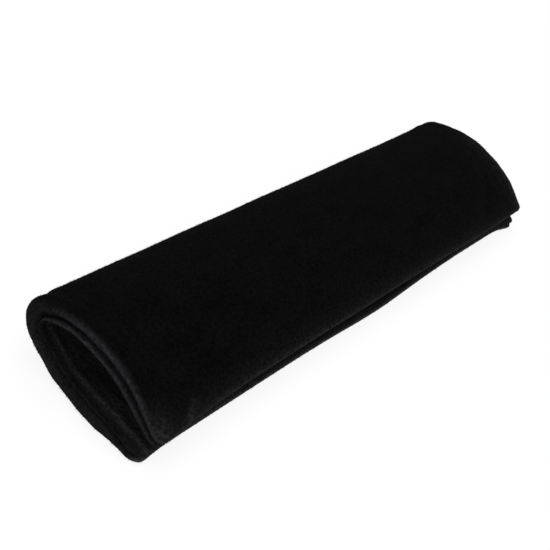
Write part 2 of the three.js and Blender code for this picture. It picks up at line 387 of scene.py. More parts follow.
def finish_piece(piece, name, material, replaced):
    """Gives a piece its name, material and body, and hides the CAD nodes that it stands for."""
    piece.name = name
    piece.data.name = name
    piece.data.materials.clear()
    piece.data.materials.append(material)
    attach(piece, "root")
    if replaced:
        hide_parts(*replaced)


# Materials

def linear(value):
    """sRGB hex to linear RGBA"""
    channels = [int(value[k:k + 2], 16) / 255 for k in (1, 3, 5)]
    return [c / 12.92 if c <= 0.04045 else ((c + 0.055) / 1.055) ** 2.4 for c in channels] + [1.0]


def new_material(name, **settings):
    """A material with one Principled shader, whose plain sockets are set here."""
    material = bpy.data.materials.new(name)
    material.use_nodes = True
    shader = material.node_tree.nodes["Principled BSDF"]
    for socket, value in settings.items():
        shader.inputs[socket.replace("_", " ")].default_value = value
    return material, shader


def add_node(material, kind, inputs=None, **settings):
    """Adds a node. inputs gives each socket a value or another node's output."""
    node = material.node_tree.nodes.new(kind)
    for name, value in settings.items():
        setattr(node, name, value)
    for socket, value in (inputs or {}).items():
        if isinstance(value, bpy.types.NodeSocket):
            material.node_tree.links.new(value, node.inputs[socket])
        else:
            node.inputs[socket].default_value = value
    return node


def plush_material(finish, name, root, tip):
    # Short-pile polyester plush, circular knitted and sheared. The upright fibres swallow light,
    # so it is near black, with a faint sheen where a bend shows them from the side, a fine uneven
    # grain of tufts, and a soft mottling where the pile was stroked over. It has no gloss, so its
    # specular level stays close to none. A painted highlight with a violet cast lies on the lips of
    # the seams, where the fibres part and catch the light, and a grey painted highlight stands for
    # the plush's sheen over the front edges and ends.
    material, shader = new_material(
        name, Roughness=0.95, Specular_IOR_Level=0.008, Sheen_Weight=0.012,
        Sheen_Roughness=0.35, Sheen_Tint=linear(finish.sheen),
    )
    place_on = add_node(material, "ShaderNodeTexCoord").outputs["Object"]
    map_on = add_node(material, "ShaderNodeUVMap", uv_map="panel").outputs["UV"]
    # Tufts of fibres 0.5 to 1 mm across
    tufts = add_node(material, "ShaderNodeTexNoise", {
        "Vector": place_on, "Scale": 1 / (1.1 * MM), "Detail": 3.0, "Roughness": 0.62,
    })
    # Pile lying one way or the other, in patches stretched along the belt
    stretched = add_node(material, "ShaderNodeMapping", {
        "Vector": map_on, "Scale": (0.45, 1.0, 1.0),
    })
    strokes = add_node(material, "ShaderNodeTexNoise", {
        "Vector": stretched.outputs["Vector"],
        "Scale": 1 / (9 * MM), "Detail": 3.0, "Roughness": 0.6,
    })
    crest = add_node(material, "ShaderNodeAttribute", attribute_name="crest")
    brushed = add_node(material, "ShaderNodeAttribute", attribute_name="brushed")
    lit = add_node(material, "ShaderNodeMath", {
        0: strokes.outputs["Fac"], 1: 0.45, 2: tufts.outputs["Fac"],
    }, operation="MULTIPLY_ADD")
    grain = add_node(material, "ShaderNodeMapRange", {
        "Value": lit.outputs["Value"], "From Min": 0.5, "From Max": 0.96,
    })
    tone = add_node(material, "ShaderNodeMix", {
        "Factor": grain.outputs["Result"], 6: linear(root), 7: linear(tip),
    }, data_type="RGBA")
    # Both painted highlights are uneven from tuft to tuft.
    patchy = add_node(material, "ShaderNodeMapRange", {
        "Value": tufts.outputs["Fac"],
        "From Min": 0.32, "From Max": 0.68, "To Min": 0.3, "To Max": 1.5,
    })
    # Share of the seams' painted highlight, uneven from tuft to tuft
    crest_highlight_share = add_node(material, "ShaderNodeMath", {
        0: crest.outputs["Fac"], 1: patchy.outputs["Result"],
    }, operation="MULTIPLY", use_clamp=True)
    # Share of the painted sheen highlight, uneven from tuft to tuft
    painted_sheen = add_node(material, "ShaderNodeMath", {
        0: brushed.outputs["Fac"], 1: patchy.outputs["Result"],
    }, operation="MULTIPLY", use_clamp=True)
    # Mixes in the painted sheen highlight over the front edges
    with_painted_sheen = add_node(material, "ShaderNodeMix", {
        "Factor": painted_sheen.outputs["Value"], 6: tone.outputs[2], 7: linear(finish.pile_sheen_highlight),
    }, data_type="RGBA")
    # Mixes in the painted highlight on the seams' lips
    with_crest_highlight = add_node(material, "ShaderNodeMix", {
        "Factor": crest_highlight_share.outputs["Value"], 6: with_painted_sheen.outputs[2], 7: linear(finish.pile_crest_highlight),
    }, data_type="RGBA")
    height = add_node(material, "ShaderNodeMath", {
        0: strokes.outputs["Fac"], 1: 0.8, 2: tufts.outputs["Fac"],
    }, operation="MULTIPLY_ADD")
    bump = add_node(material, "ShaderNodeBump", {
        "Height": height.outputs["Value"], "Strength": 1.0, "Distance": 0.9 * MM,
    })
    link = material.node_tree.links.new
    link(with_crest_highlight.outputs[2], shader.inputs["Base Color"])
    link(bump.outputs["Normal"], shader.inputs["Normal"])
    return material


def fibre_material(finish, name, tip):
    # Single polyester fibres of the pile: matt black, with a painted highlight on the lips of the
    # seams and a painted sheen highlight over the front edges.
    material, shader = new_material(name, Roughness=0.8, Specular_IOR_Level=0.02)
    crest = add_node(material, "ShaderNodeAttribute", attribute_name="crest")
    brushed = add_node(material, "ShaderNodeAttribute", attribute_name="brushed")
    # Painted sheen highlight over the front edges, then the seams' painted highlight
    with_painted_sheen = add_node(material, "ShaderNodeMix", {
        "Factor": brushed.outputs["Fac"], 6: linear(tip), 7: linear(finish.pile_sheen_highlight),
    }, data_type="RGBA")
    tone = add_node(material, "ShaderNodeMix", {
        "Factor": crest.outputs["Fac"], 6: with_painted_sheen.outputs[2], 7: linear(finish.pile_crest_highlight),
    }, data_type="RGBA")
    material.node_tree.links.new(tone.outputs[2], shader.inputs["Base Color"])
    return material


def thread_material(finish):
    # Spun polyester sewing thread, two plies twisted together: the slant of the plies shows as
    # fine lights across it, with the dull gloss of filament.
    material, shader = new_material(
        "polyester_thread_twisted", Roughness=0.7, Specular_IOR_Level=0.03,
        Base_Color=linear(finish.thread),
    )
    place_on = add_node(material, "ShaderNodeTexCoord").outputs["Object"]
    slant = add_node(material, "ShaderNodeMapping", {
        "Vector": place_on, "Rotation": (0.6, 0.4, 0.8),
    })
    plies = add_node(material, "ShaderNodeTexWave", {
        "Vector": slant.outputs["Vector"], "Scale": 1 / (1.4 * MM), "Distortion": 0.5,
    })
    bump = add_node(material, "ShaderNodeBump", {
        "Height": plies.outputs["Fac"], "Strength": 0.6, "Distance": 0.1 * MM,
    })
    material.node_tree.links.new(bump.outputs["Normal"], shader.inputs["Normal"])
    return material


def foam_material(finish):
    # Polyurethane foam cut from a slab with a hot wire: matt, with open cells under a millimetre.
    material, shader = new_material("polyurethane_foam_cut", Roughness=0.9, Specular_IOR_Level=0.2)
    place_on = add_node(material, "ShaderNodeTexCoord").outputs["Object"]
    cells = add_node(material, "ShaderNodeTexVoronoi", {
        "Vector": place_on, "Scale": 1 / (0.8 * MM),
    })
    # The cells' hollows are painted darker as shade
    tone = add_node(material, "ShaderNodeMix", {
        "Factor": cells.outputs["Distance"], 6: linear(finish.foam_cell_shade), 7: linear(finish.foam),
    }, data_type="RGBA")
    bump = add_node(material, "ShaderNodeBump", {
        "Height": cells.outputs["Distance"], "Strength": 0.7, "Distance": 0.3 * MM,
    })
    material.node_tree.links.new(tone.outputs[2], shader.inputs["Base Color"])
    material.node_tree.links.new(bump.outputs["Normal"], shader.inputs["Normal"])
    return material


def tape_material(finish, name, step, roughness):
    # Woven nylon tape with its hooks or loops standing in rows: a fine regular grain, duller on
    # the loops than on the hooks.
    material, shader = new_material(
        name, Roughness=roughness, Specular_IOR_Level=0.15, Base_Color=linear(finish.tape),
    )
    map_on = add_node(material, "ShaderNodeUVMap", uv_map="panel").outputs["UV"]
    rows = add_node(material, "ShaderNodeTexVoronoi", {
        "Vector": map_on, "Scale": 1 / (step * MM), "Randomness": 0.3,
    })
    bump = add_node(material, "ShaderNodeBump", {
        "Height": rows.outputs["Distance"], "Strength": 0.9, "Distance": 0.3 * MM,
    })
    material.node_tree.links.new(bump.outputs["Normal"], shader.inputs["Normal"])
    return material


# The plush panel

HEM_ROWS = 5  # divisions between an end's rim and its line of stitches
ROW_GROWTH = 1.12  # from there on each division is this much wider than the last one
WIDEST_ROW = 2.8 * MM  # none is wider than this

# Degrees above the rim of the rings that the cloth is divided into between the face and the seam
ROLL_RINGS = (62, 36, 10, -16, -44)


def row_places(sizes):
    """Where the panel is divided along the belt: close by the hems, wider in the middle. One row
    lies on the line of stitches at each end."""
    rim = -sizes.pad_length / 2 + sizes.seam_roll
    hem = -sizes.pad_length / 2 + sizes.hem_inset
    places = list(np.linspace(rim, hem, HEM_ROWS + 1))
    step = places[1] - places[0]
    while places[-1] < -step:
        step = min(step * ROW_GROWTH, WIDEST_ROW)
        places.append(places[-1] + step)
    places = np.array(places)
    places[HEM_ROWS:] = hem + (places[HEM_ROWS:] - hem) * hem / (hem - places[-1])
    return np.concatenate([places, -places[-2::-1]])


def column_places(sizes, girth):
    """Where the panel is divided round the girth: twice in each stitch."""
    edge = girth / 2 - sizes.seam_roll
    stitches = round(2 * edge / sizes.stitch)
    return np.linspace(-edge, edge, 2 * stitches + 1)


def tilt_of(section, ring):
    """Degrees that the cloth faces up from the rim: 90 on the face, less than 0 inside the seam"""
    tilts = np.array([90, *ROLL_RINGS, -math.degrees(section.sizes.seam_tuck)])
    return tilts[np.rint(ring).astype(int)]


def sewn_face(section, side):
    """One plush face of the flat panel, from a grid whose boundary is extruded over the rim."""
    sizes = section.sizes
    rows, columns = row_places(sizes), column_places(sizes, section.girth)
    deselect_all()
    bpy.ops.mesh.primitive_grid_add(
        x_subdivisions=len(rows) - 1, y_subdivisions=len(columns) - 1, size=1,
    )
    piece = bpy.context.object
    unit = coordinates(piece) + 0.5
    i = np.rint(unit[:, 0] * (len(rows) - 1)).astype(int)
    j = np.rint(unit[:, 1] * (len(columns) - 1)).astype(int)

    # The corners are rounded, and the vertices of the outline learn which way the rim faces.
    corner = sizes.corner - sizes.seam_roll
    flat = np.column_stack([rows[i], columns[j], np.zeros(len(i))])
    limit = np.array([rows[-1], columns[-1]]) - corner
    towards = np.sign(flat[:, :2]) * np.clip(np.abs(flat[:, :2]) - limit, 0, None) / corner
    rounded = towards * np.sqrt(1 - towards[:, ::-1] ** 2 / 2)
    flat[:, :2] += (rounded - towards) * corner
    at_corner = (np.abs(towards) > 0).all(axis=1)[:, None]
    facing = np.where(at_corner, rounded, np.sign(towards) * (np.abs(towards) >= 1))
    facing = facing / np.maximum(np.linalg.norm(facing, axis=1), 1e-9)[:, None]
    place(piece, flat)
    write_attribute(piece, "face_along", facing[:, 0])
    write_attribute(piece, "face_girth", facing[:, 1])
    write_attribute(piece, "ring", 0 * i)

    edit(piece, (bpy.ops.mesh.select_all, {"action": "DESELECT"}),
         (bpy.ops.mesh.select_mode, {"type": "EDGE"}),
         (bpy.ops.mesh.select_non_manifold, {
             "use_wire": False, "use_multi_face": False,
             "use_non_contiguous": False, "use_verts": False,
         }))
    for ring in range(1, len(ROLL_RINGS) + 2):
        edit(piece, (bpy.ops.mesh.extrude_edges_move, {}))
        chosen = np.empty(len(piece.data.vertices), dtype=bool)
        piece.data.vertices.foreach_get("select", chosen)
        rings = read_attribute(piece, "ring")
        rings[chosen] = ring
        write_attribute(piece, "ring", rings)

    ring = read_attribute(piece, "ring")
    facing = np.column_stack([read_attribute(piece, name) for name in ("face_along", "face_girth")])
    tilt = np.radians(tilt_of(section, ring))
    flat = coordinates(piece)
    seam, half = section.faces(flat)
    from_edge = eased((section.girth / 2 - np.abs(flat[:, 1])) / sizes.sink_ease)
    sink = sizes.sink_upper + (sizes.sink_lower - sizes.sink_upper) * section.past_fold(flat)
    sink *= facing[:, 0] ** 2 * from_edge
    rise = (half + side * sink - sizes.seam_gap / 2) / (1 + math.sin(sizes.seam_tuck))
    flat[:, :2] += facing * (sizes.seam_roll * np.cos(tilt) * (ring > 0))[:, None]
    flat[:, 2] = seam + side * (half - rise + rise * np.sin(tilt))
    place(piece, flat)
    write_attribute(piece, "side", np.full(len(flat), side))
    edit(piece, (bpy.ops.mesh.select_all, {"action": "SELECT"}),
         (bpy.ops.mesh.normals_make_consistent, {"inside": False}))
    normals = np.empty(len(piece.data.polygons) * 3)
    piece.data.polygons.foreach_get("normal", normals)
    if normals.reshape(-1, 3)[:, 2].sum() * side < 0:
        edit(piece, (bpy.ops.mesh.flip_normals, {}))
    return piece


def pull_by_stitches(section, flat, side, ring):
    """The topstitches draw each face in, deepest at the needle holes."""
    sizes = section.sizes
    near = np.clip(section.hem_distance(flat) / sizes.hem_spread, 0, 1)
    edge = section.girth / 2 - sizes.seam_roll
    along_row = (flat[:, 1] + edge) / sizes.stitch
    hole = 0.5 + 0.5 * np.cos(2 * math.pi * along_row)
    within = np.clip((edge - np.abs(flat[:, 1])) / (3 * MM), 0, 1)
    dip = sizes.hem_dip * (0.5 + 0.5 * np.cos(math.pi * near)) * (0.8 + 0.35 * hole) * within
    return flat[:, 2] - side * dip * (ring == 0)


SWELL_SIZE = 26 * MM  # from one rise of the uneven surface to the next
SWELL_REACH = 0.22 * MM  # how high it rises at most


def uneven(flat, side):
    """Soft foam is never quite even: a slow swell of the surface, the same on each run."""
    return np.array([
        SWELL_REACH * noise.noise(Vector((x / SWELL_SIZE + 3.1, y / SWELL_SIZE, 7.3 * side)))
        for x, y, _ in flat
    ])


CLOTH_FRAMES = 20  # the simulation's steps
CLOTH_LIMIT = 0.85 * MM  # the foam inside lets the cloth move less than this
CLOTH_LIFT = 0.75  # what the pressure adds to each face, in mm
FOAM_HOLD = 0.05  # how firmly the foam holds the cloth between its stitches, where 1 is sewn fast


def settle_cloth(pillow, held):
    """Air pressure inside and slack in the cloth raise it between its stitches."""
    start = coordinates(pillow)
    group = pillow.vertex_groups.new(name="held")
    for weight in np.unique(held):
        group.add(np.flatnonzero(held == weight).tolist(), float(weight), "REPLACE")
    activate(pillow)
    modifier = pillow.modifiers.new("Cloth", "CLOTH")
    cloth = modifier.settings
    cloth.quality = 6
    cloth.mass = 0.0004
    cloth.tension_stiffness = cloth.compression_stiffness = 6
    cloth.shear_stiffness = 3
    cloth.bending_stiffness = 0.02
    cloth.use_pressure = True
    cloth.uniform_pressure_force = 4
    cloth.shrink_min = -0.02
    cloth.vertex_group_mass = "held"
    cloth.pin_stiffness = 1
    cloth.effector_weights.gravity = 0
    modifier.collision_settings.use_collision = False
    scene = bpy.context.scene
    modifier.point_cache.frame_start, modifier.point_cache.frame_end = 1, CLOTH_FRAMES
    for step in range(1, CLOTH_FRAMES + 1):
        scene.frame_set(step)
    deselect_all()
    bpy.context.view_layer.objects.active = pillow
    bpy.ops.object.modifier_apply(modifier=modifier.name)
    scene.frame_set(1)
    moved = coordinates(pillow) - start
    reach = np.linalg.norm(moved, axis=1)
    place(pillow, start + moved / (1 + reach / CLOTH_LIMIT)[:, None])


def puff_up(pillow, section):
    """Makes the sewn panel slimmer by what the pressure adds, then lets the pressure act. The seam
    and the needle holes hold the cloth, and the tapes keep the long edges straight."""
    sizes = section.sizes
    flat, ring, side = coordinates(pillow), *(read_attribute(pillow, n) for n in ("ring", "side"))
    edge = section.girth / 2 - sizes.seam_roll
    hole = np.abs(np.cos(math.pi * (flat[:, 1] + edge) / sizes.stitch)) > 0.7
    hem = (section.hem_distance(flat) < 0.3 * MM) & (ring == 0) & hole
    long_edge = (ring > 0) & (np.abs(flat[:, 1]) > edge - 1.0 * MM)
    sewn = (ring > len(ROLL_RINGS)) | long_edge | hem
    from_hem = np.clip(sizes.pad_length / 2 - sizes.hem_inset - np.abs(flat[:, 0]), 0, None)
    slimmer = eased(from_hem / (5 * MM)) * eased((edge - np.abs(flat[:, 1])) / (7 * MM))
    slimmer *= ring == 0
    flat[:, 2] -= side * slimmer * CLOTH_LIFT * MM
    place(pillow, flat)
    settle_cloth(pillow, np.where(sewn, 1.0, FOAM_HOLD))


class PAD_OT_plush_panel(bpy.types.Operator):
    """Sews two plush faces into a flat panel, lets it puff up and folds it round the belt"""

    bl_idname = "pad.plush_panel"
    bl_label = "Plush panel"

    def execute(self, context):
        scene = context.scene
        section = Section(scene.pad_sizes, scene.pad_folds)
        faces = [sewn_face(section, side) for side in (1, -1)]
        for piece in faces:
            flat, ring = coordinates(piece), np.rint(read_attribute(piece, "ring"))
            side = read_attribute(piece, "side")
            flat[:, 2] = pull_by_stitches(section, flat, side, ring)
            place(piece, flat)

        activate(faces[0])
        faces[1].select_set(True)
        bpy.ops.object.join()
        pillow = faces[0]
        sort_faces(pillow)
        puff_up(pillow, section)

        edit(pillow, (bpy.ops.mesh.select_all, {"action": "SELECT"}),
             (bpy.ops.mesh.separate, {"type": "LOOSE"}))
        meshes = [piece for piece in scene.objects if piece.type == "MESH"]
        for piece in [piece for piece in meshes if piece.data.attributes.get("side")]:
            sort_faces(piece)
            side = read_attribute(piece, "side")[0]
            flat, ring = coordinates(piece), read_attribute(piece, "ring")
            flat[:, 2] += uneven(flat, side) * np.clip(2 - ring, 0, 1)
            write_panel_uv(piece, flat)
            # Masks of the two painted highlights: on the seams' lips and over the front edges
            write_attribute(piece, "crest", crest_highlight_of(section, flat, ring, side))
            write_attribute(piece, "brushed", painted_sheen_of(section, flat, ring, side))
            place(piece, section.relax(flat, section.fold(flat)))
            piece.data.attributes.remove(piece.data.attributes["side"])
            piece.vertex_groups.clear()
            apply_modifier(piece, "SUBSURF", levels=1, render_levels=1)
            piece["skin_faces"] = len(piece.data.polygons)
            apply_modifier(
                piece, "SOLIDIFY", thickness=section.sizes.fabric, offset=-1, use_rim=True,
            )
            activate(piece)
            bpy.ops.object.shade_smooth()
            finish = scene.pad_finish
            if side > 0:
                material = plush_material(
                    finish, "polyester_plush_sheared", finish.pile_root, finish.pile_tip,
                )
                finish_piece(piece, "plush_cover", material, ["outer_cover"])
            else:
                material = plush_material(
                    finish, "polyester_plush_lining", finish.lining_root, finish.lining_tip,
                )
                finish_piece(piece, "plush_lining", material, ["inner_lining"])
        return {"FINISHED"}


def crest_highlight_of(section, flat, ring, side):
    """Where the seams' painted highlight lies: 1 on the lips of the seam at both ends of the upper
    wall, where the pile parts and is seen from the side, less near the front corners and almost 0
    from the fold on. It fades out towards the face and inside the groove."""
    tilt = tilt_of(section, ring)
    lip = np.exp(-((tilt - 2) / np.where(tilt < 2, 24, 28)) ** 2) * (ring > 0)
    inside = section.sizes.pad_length / 2 - section.sizes.seam_roll - np.abs(flat[:, 0])
    at_end = np.clip(1 - inside / (6 * MM), 0, 1)
    level = 1 - 0.95 * section.past_fold(flat, early=0.2 if side > 0 else 0.14)
    corner = 0.6 + 0.4 * eased((flat[:, 1] + section.girth / 2) / (9 * MM))
    return lip * at_end * level * corner


def painted_sheen_of(section, flat, ring, side):
    """Where the painted sheen highlight lies: 1 over the front edges, and less over the far end,
    the front corners, the ends from the fold on, and the lining's ridge along the lower wall's
    ends.
    It fades out across the face."""
    sizes, folds = section.sizes, section.folds
    girth = flat[:, 1] + section.girth / 2
    upper = eased(2 - 4 * girth / section.girth)
    tilt = tilt_of(section, ring)
    past_rim = np.clip((tilt + 22) / 30, 0, 1)
    over_rim = np.exp(-np.clip(tilt, 0, None) / 42)
    from_front = np.clip(girth - sizes.seam_roll, 0, None)
    from_back = np.clip(section.girth - girth - sizes.seam_roll, 0, None)
    from_end = np.clip(sizes.pad_length / 2 - sizes.seam_roll - np.abs(flat[:, 0]), 0, None)
    # On the lining: a painted highlight along the ridge at the lower wall's ends, and a faint one
    # behind it
    if side < 0:
        ridge = np.exp(-((from_end - 1.7 * MM) / (0.7 * MM)) ** 2)
        behind = np.clip((from_end - 1.2 * MM) / (1.5 * MM), 0, 1) * np.exp(-from_end / (40 * MM))
        return section.past_fold(flat) * (0.06 + 0.6 * ridge + 0.17 * behind)
    front = over_rim * np.exp(-from_front / (3.0 * MM))
    # A painted highlight along a short slanting crease where the tape ends
    crease = flat[:, 0] + sizes.pad_length / 2 - folds.tape_end_margin + 1.5 * MM - 1.2 * girth
    pucker = 0.7 * np.exp(-(crease / (1.0 * MM)) ** 2 - (from_front / (3.5 * MM)) ** 4)
    over_end = 0.42 * np.exp(-from_end / (3.5 * MM)) * upper * (flat[:, 0] > 0)
    corner = 0.4 * np.exp(-(from_front / (6 * MM)) ** 2 - (from_end / (5 * MM)) ** 2)
    back = np.clip((tilt + 60) / 30, 0, 1) * np.exp(-from_back / (1.0 * MM))
    below = 0.08 + 0.16 * np.exp(-((tilt - 2) / 34) ** 2)
    below *= section.past_fold(flat) * (ring > 0) * (from_end < 4 * MM)
    above = past_rim * np.maximum.reduce([front, pucker, over_end, corner])
    return np.maximum.reduce([above, back, below])


# Foam, tapes and stitches

class PAD_OT_foam(bpy.types.Operator):
    """Cuts the foam sheet and folds it between the plush faces"""

    bl_idname = "pad.foam"
    bl_label = "Foam sheet"

    def execute(self, context):
        scene = context.scene
        sizes = scene.pad_sizes
        section = Section(sizes, scene.pad_folds)
        deselect_all()
        bpy.ops.mesh.primitive_grid_add(x_subdivisions=60, y_subdivisions=60, size=1)
        piece = bpy.context.object
        margins = 2 * sizes.foam_margin
        extent = (sizes.pad_length - margins, section.girth - margins, 1)
        edit(piece, (bpy.ops.mesh.select_all, {"action": "SELECT"}),
             (bpy.ops.transform.resize, {"value": extent}),
             (bpy.ops.mesh.extrude_region_move, {"TRANSFORM_OT_translate": {"value": (0, 0, 1)}}),
             (bpy.ops.mesh.select_all, {"action": "SELECT"}),
             (bpy.ops.mesh.normals_make_consistent, {"inside": False}))
        flat = coordinates(piece)
        upper = flat[:, 2] > 0.5
        seam, half = section.faces(flat)
        near = np.clip(section.hem_distance(flat) / sizes.hem_spread, 0, 1)
        # It keeps clear of the plush, also where the stitches draw that in.
        half = half - sizes.hem_dip * (0.5 + 0.5 * np.cos(math.pi * near)) - sizes.fabric - 0.5 * MM
        flat[:, 2] = seam + np.where(upper, half, -half)
        write_panel_uv(piece, flat)
        place(piece, section.relax(flat, section.fold(flat)))
        apply_modifier(piece, "BEVEL", width=0.8 * MM, segments=2, limit_method="ANGLE")
        activate(piece)
        bpy.ops.object.shade_smooth_by_angle(angle=math.radians(40))
        finish_piece(piece, "foam_sheet", foam_material(scene.pad_finish), ["foam_core"])
        return {"FINISHED"}


class PAD_OT_tapes(bpy.types.Operator):
    """Lays the hook tape and the loop tape along the two front edges"""

    bl_idname = "pad.tapes"
    bl_label = "Hook and loop tapes"

    def execute(self, context):
        scene = context.scene
        sizes, folds = scene.pad_sizes, scene.pad_folds
        section = Section(sizes, folds)
        half_length = sizes.pad_length / 2 - folds.tape_end_margin
        near_rim = section.girth / 2 - folds.tape_margin - folds.tape_width / 2
        # Piece, CAD node, front edge (-1 is the upper one), material, its rows in mm, its roughness
        tapes = (
            ("hook_strip", "hook_tape", -1, "nylon_hook_tape_moulded", 1.1, 0.6),
            ("loop_strip", "loop_tape", 1, "nylon_loop_tape_brushed", 0.6, 0.85),
        )
        for name, node, edge, material, step, roughness in tapes:
            deselect_all()
            bpy.ops.mesh.primitive_grid_add(x_subdivisions=108, y_subdivisions=5, size=1)
            piece = bpy.context.object
            edit(piece, (bpy.ops.mesh.select_all, {"action": "SELECT"}),
                 (bpy.ops.transform.resize, {"value": (2 * half_length, folds.tape_width, 1)}),
                 (bpy.ops.transform.translate, {"value": (0, edge * near_rim, 0)}),
                 (bpy.ops.mesh.extrude_region_move, {
                     "TRANSFORM_OT_translate": {"value": (0, 0, 1)},
                 }),
                 (bpy.ops.mesh.select_all, {"action": "SELECT"}),
                 (bpy.ops.mesh.normals_make_consistent, {"inside": False}))
            flat = coordinates(piece)
            deep = flat[:, 2] < 0.5
            seam, half = section.faces(flat)
            flat[:, 2] = seam - half - folds.fit_gap - np.where(deep, folds.tape_thick, 0)
            write_panel_uv(piece, flat)
            place(piece, section.relax(flat, section.fold(flat)))
            apply_modifier(piece, "BEVEL", width=0.3 * MM, segments=2, limit_method="ANGLE")
            activate(piece)
            bpy.ops.object.shade_smooth_by_angle(angle=math.radians(40))
            material = tape_material(scene.pad_finish, material, step, roughness)
            finish_piece(piece, name, material, [node])
        return {"FINISHED"}


def skin_of(piece):
    """Corner points of the triangles on a plush piece's outer side, and the values of its two
    painted highlights there.
    """
    mesh = piece.data
    mesh.calc_loop_triangles()
    triangles = np.empty(len(mesh.loop_triangles) * 3, dtype=int)
    mesh.loop_triangles.foreach_get("vertices", triangles)
    owners = np.empty(len(mesh.loop_triangles), dtype=int)
    mesh.loop_triangles.foreach_get("polygon_index", owners)
    outer = triangles.reshape(-1, 3)[owners < piece["skin_faces"]]
    crest = read_attribute(piece, "crest")[outer].mean(axis=1)
    brushed = read_attribute(piece, "brushed")[outer].mean(axis=1)
    return coordinates(piece)[outer], crest, brushed


# Plush piece, its fibres, how many they are, their slot and the colour of their tips
PILES = (
    ("plush_cover", "cover_pile", 48000, "outer_plush", "pile_tip"),
    ("plush_lining", "lining_pile", 24000, "lining_plush", "lining_tip"),
)
FIBRE_RADIUS = 0.11 * MM
FIBRE_ROOT = 0.3 * MM  # how deep it stands in the cloth


class PAD_OT_pile(bpy.types.Operator):
    """Sets short fibres on the plush, closest over the lips of the seams"""

    bl_idname = "pad.pile"
    bl_label = "Pile fibres"

    def execute(self, context):
        scene = context.scene
        rng = np.random.default_rng(11)
        for source, name, count, slot, tip in PILES:
            points, crest, brushed = skin_of(bpy.data.objects[source])
            normal = np.cross(points[:, 1] - points[:, 0], points[:, 2] - points[:, 0])
            area = np.linalg.norm(normal, axis=1) / 2
            normal /= np.maximum(2 * area, 1e-12)[:, None]
            weight = area * (1 + 9 * crest)
            chosen = rng.choice(len(area), size=count, p=weight / weight.sum())
            a, b = np.sqrt(rng.random(count)), rng.random(count)
            mix = np.stack([1 - a, a * (1 - b), a * b], axis=1)
            root = (points[chosen] * mix[:, :, None]).sum(axis=1)
            up = normal[chosen]
            # The pile leans a little towards -X, each fibre in its own way.
            lean = up + rng.normal(0, 0.28, (count, 3)) + np.array([-0.18, 0, 0])
            lean /= np.linalg.norm(lean, axis=1)[:, None]
            side = np.cross(lean, rng.normal(0, 1, (count, 3)))
            side /= np.linalg.norm(side, axis=1)[:, None]
            other = np.cross(lean, side)
            reach = scene.pad_sizes.pile * rng.uniform(0.55, 1.0, count)
            reach = reach * (0.75 + 0.25 * crest[chosen])
            corners = [
                root - lean * FIBRE_ROOT + FIBRE_RADIUS * (math.cos(t) * side + math.sin(t) * other)
                for t in (0, 2 * math.pi / 3, 4 * math.pi / 3)
            ]
            corners.append(root + lean * reach[:, None])
            vertices = np.stack(corners, axis=1).reshape(-1, 3)
            vertices[:, 2] = np.maximum(vertices[:, 2], 0)  # the floor presses them flat
            spike = np.array([[0, 2, 1], [0, 1, 3], [1, 2, 3], [2, 0, 3]])
            faces = (np.arange(count)[:, None, None] * 4 + spike).reshape(-1, 3)
            mesh = bpy.data.meshes.new(name)
            mesh.from_pydata(vertices.tolist(), [], faces.tolist())
            piece = bpy.data.objects.new(name, mesh)
            scene.collection.objects.link(piece)
            # The fibres carry the painted highlights of the plush beneath them
            write_attribute(piece, "crest", np.repeat(crest[chosen], 4))
            write_attribute(piece, "brushed", np.repeat(brushed[chosen], 4))
            material = fibre_material(
                scene.pad_finish, name + "_fibre", getattr(scene.pad_finish, tip),
            )
            finish_piece(piece, name, material, [])
        return {"FINISHED"}


THREAD_SINK = 0.05 * MM  # the thread's middle lies this far below the plush


